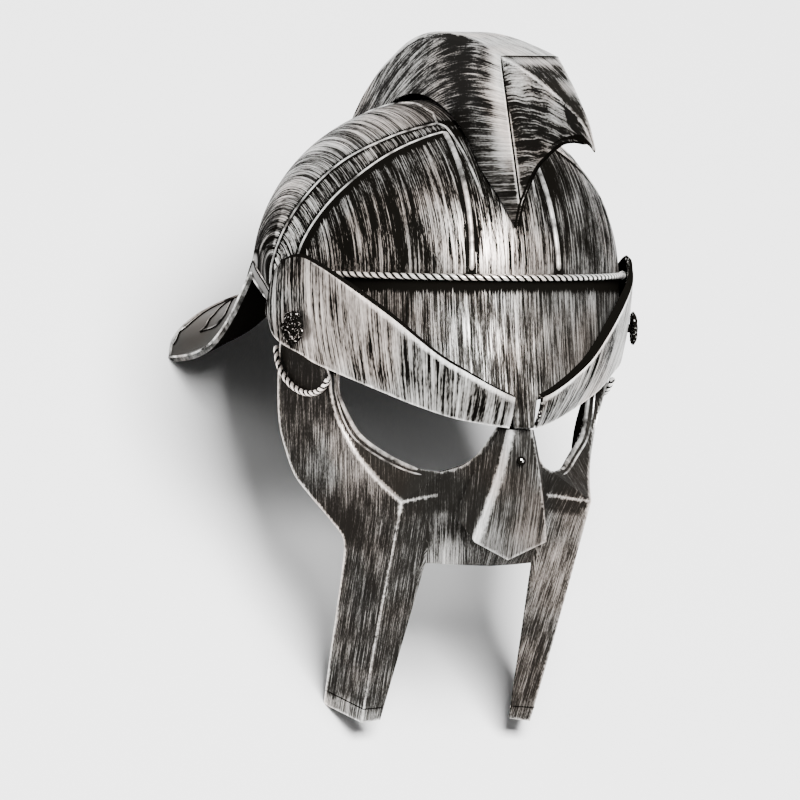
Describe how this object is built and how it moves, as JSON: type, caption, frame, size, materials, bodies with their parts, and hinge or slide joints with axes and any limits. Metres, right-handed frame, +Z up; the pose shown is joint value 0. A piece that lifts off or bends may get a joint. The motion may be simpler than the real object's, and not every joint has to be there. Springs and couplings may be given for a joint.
{
  "type": "gladiator helmet",
  "caption": "Costume gladiator helmet with a prow crest, rope trim, slanted visor plates, faceted nose guard, long cheek guards and a flared neck guard.",
  "frame": {"origin": "on the surface that it stands on, under the centre of its bounding box", "axes": "+X towards the wearer's left, -Y towards the front, +Z up from the surface it stands on"},
  "size_m": [0.1796, 0.2848, 0.3156],
  "materials": {
    "silvered_shell": "satin",
    "dark_trim": "satin"
  },
  "bodies": {
    "root": {"brow_band_left": "silvered_shell", "brow_band_right": "silvered_shell", "crest": "silvered_shell", "crest_post": "dark_trim", "face_mask": "silvered_shell", "nasal": "silvered_shell", "nasal_rivet": "dark_trim", "rope_band": "silvered_shell", "skull": "silvered_shell", "temple_rivet_left": "dark_trim", "temple_rivet_right": "dark_trim", "temple_rope_left": "silvered_shell", "temple_rope_right": "silvered_shell"}
  },
  "joints": []
}
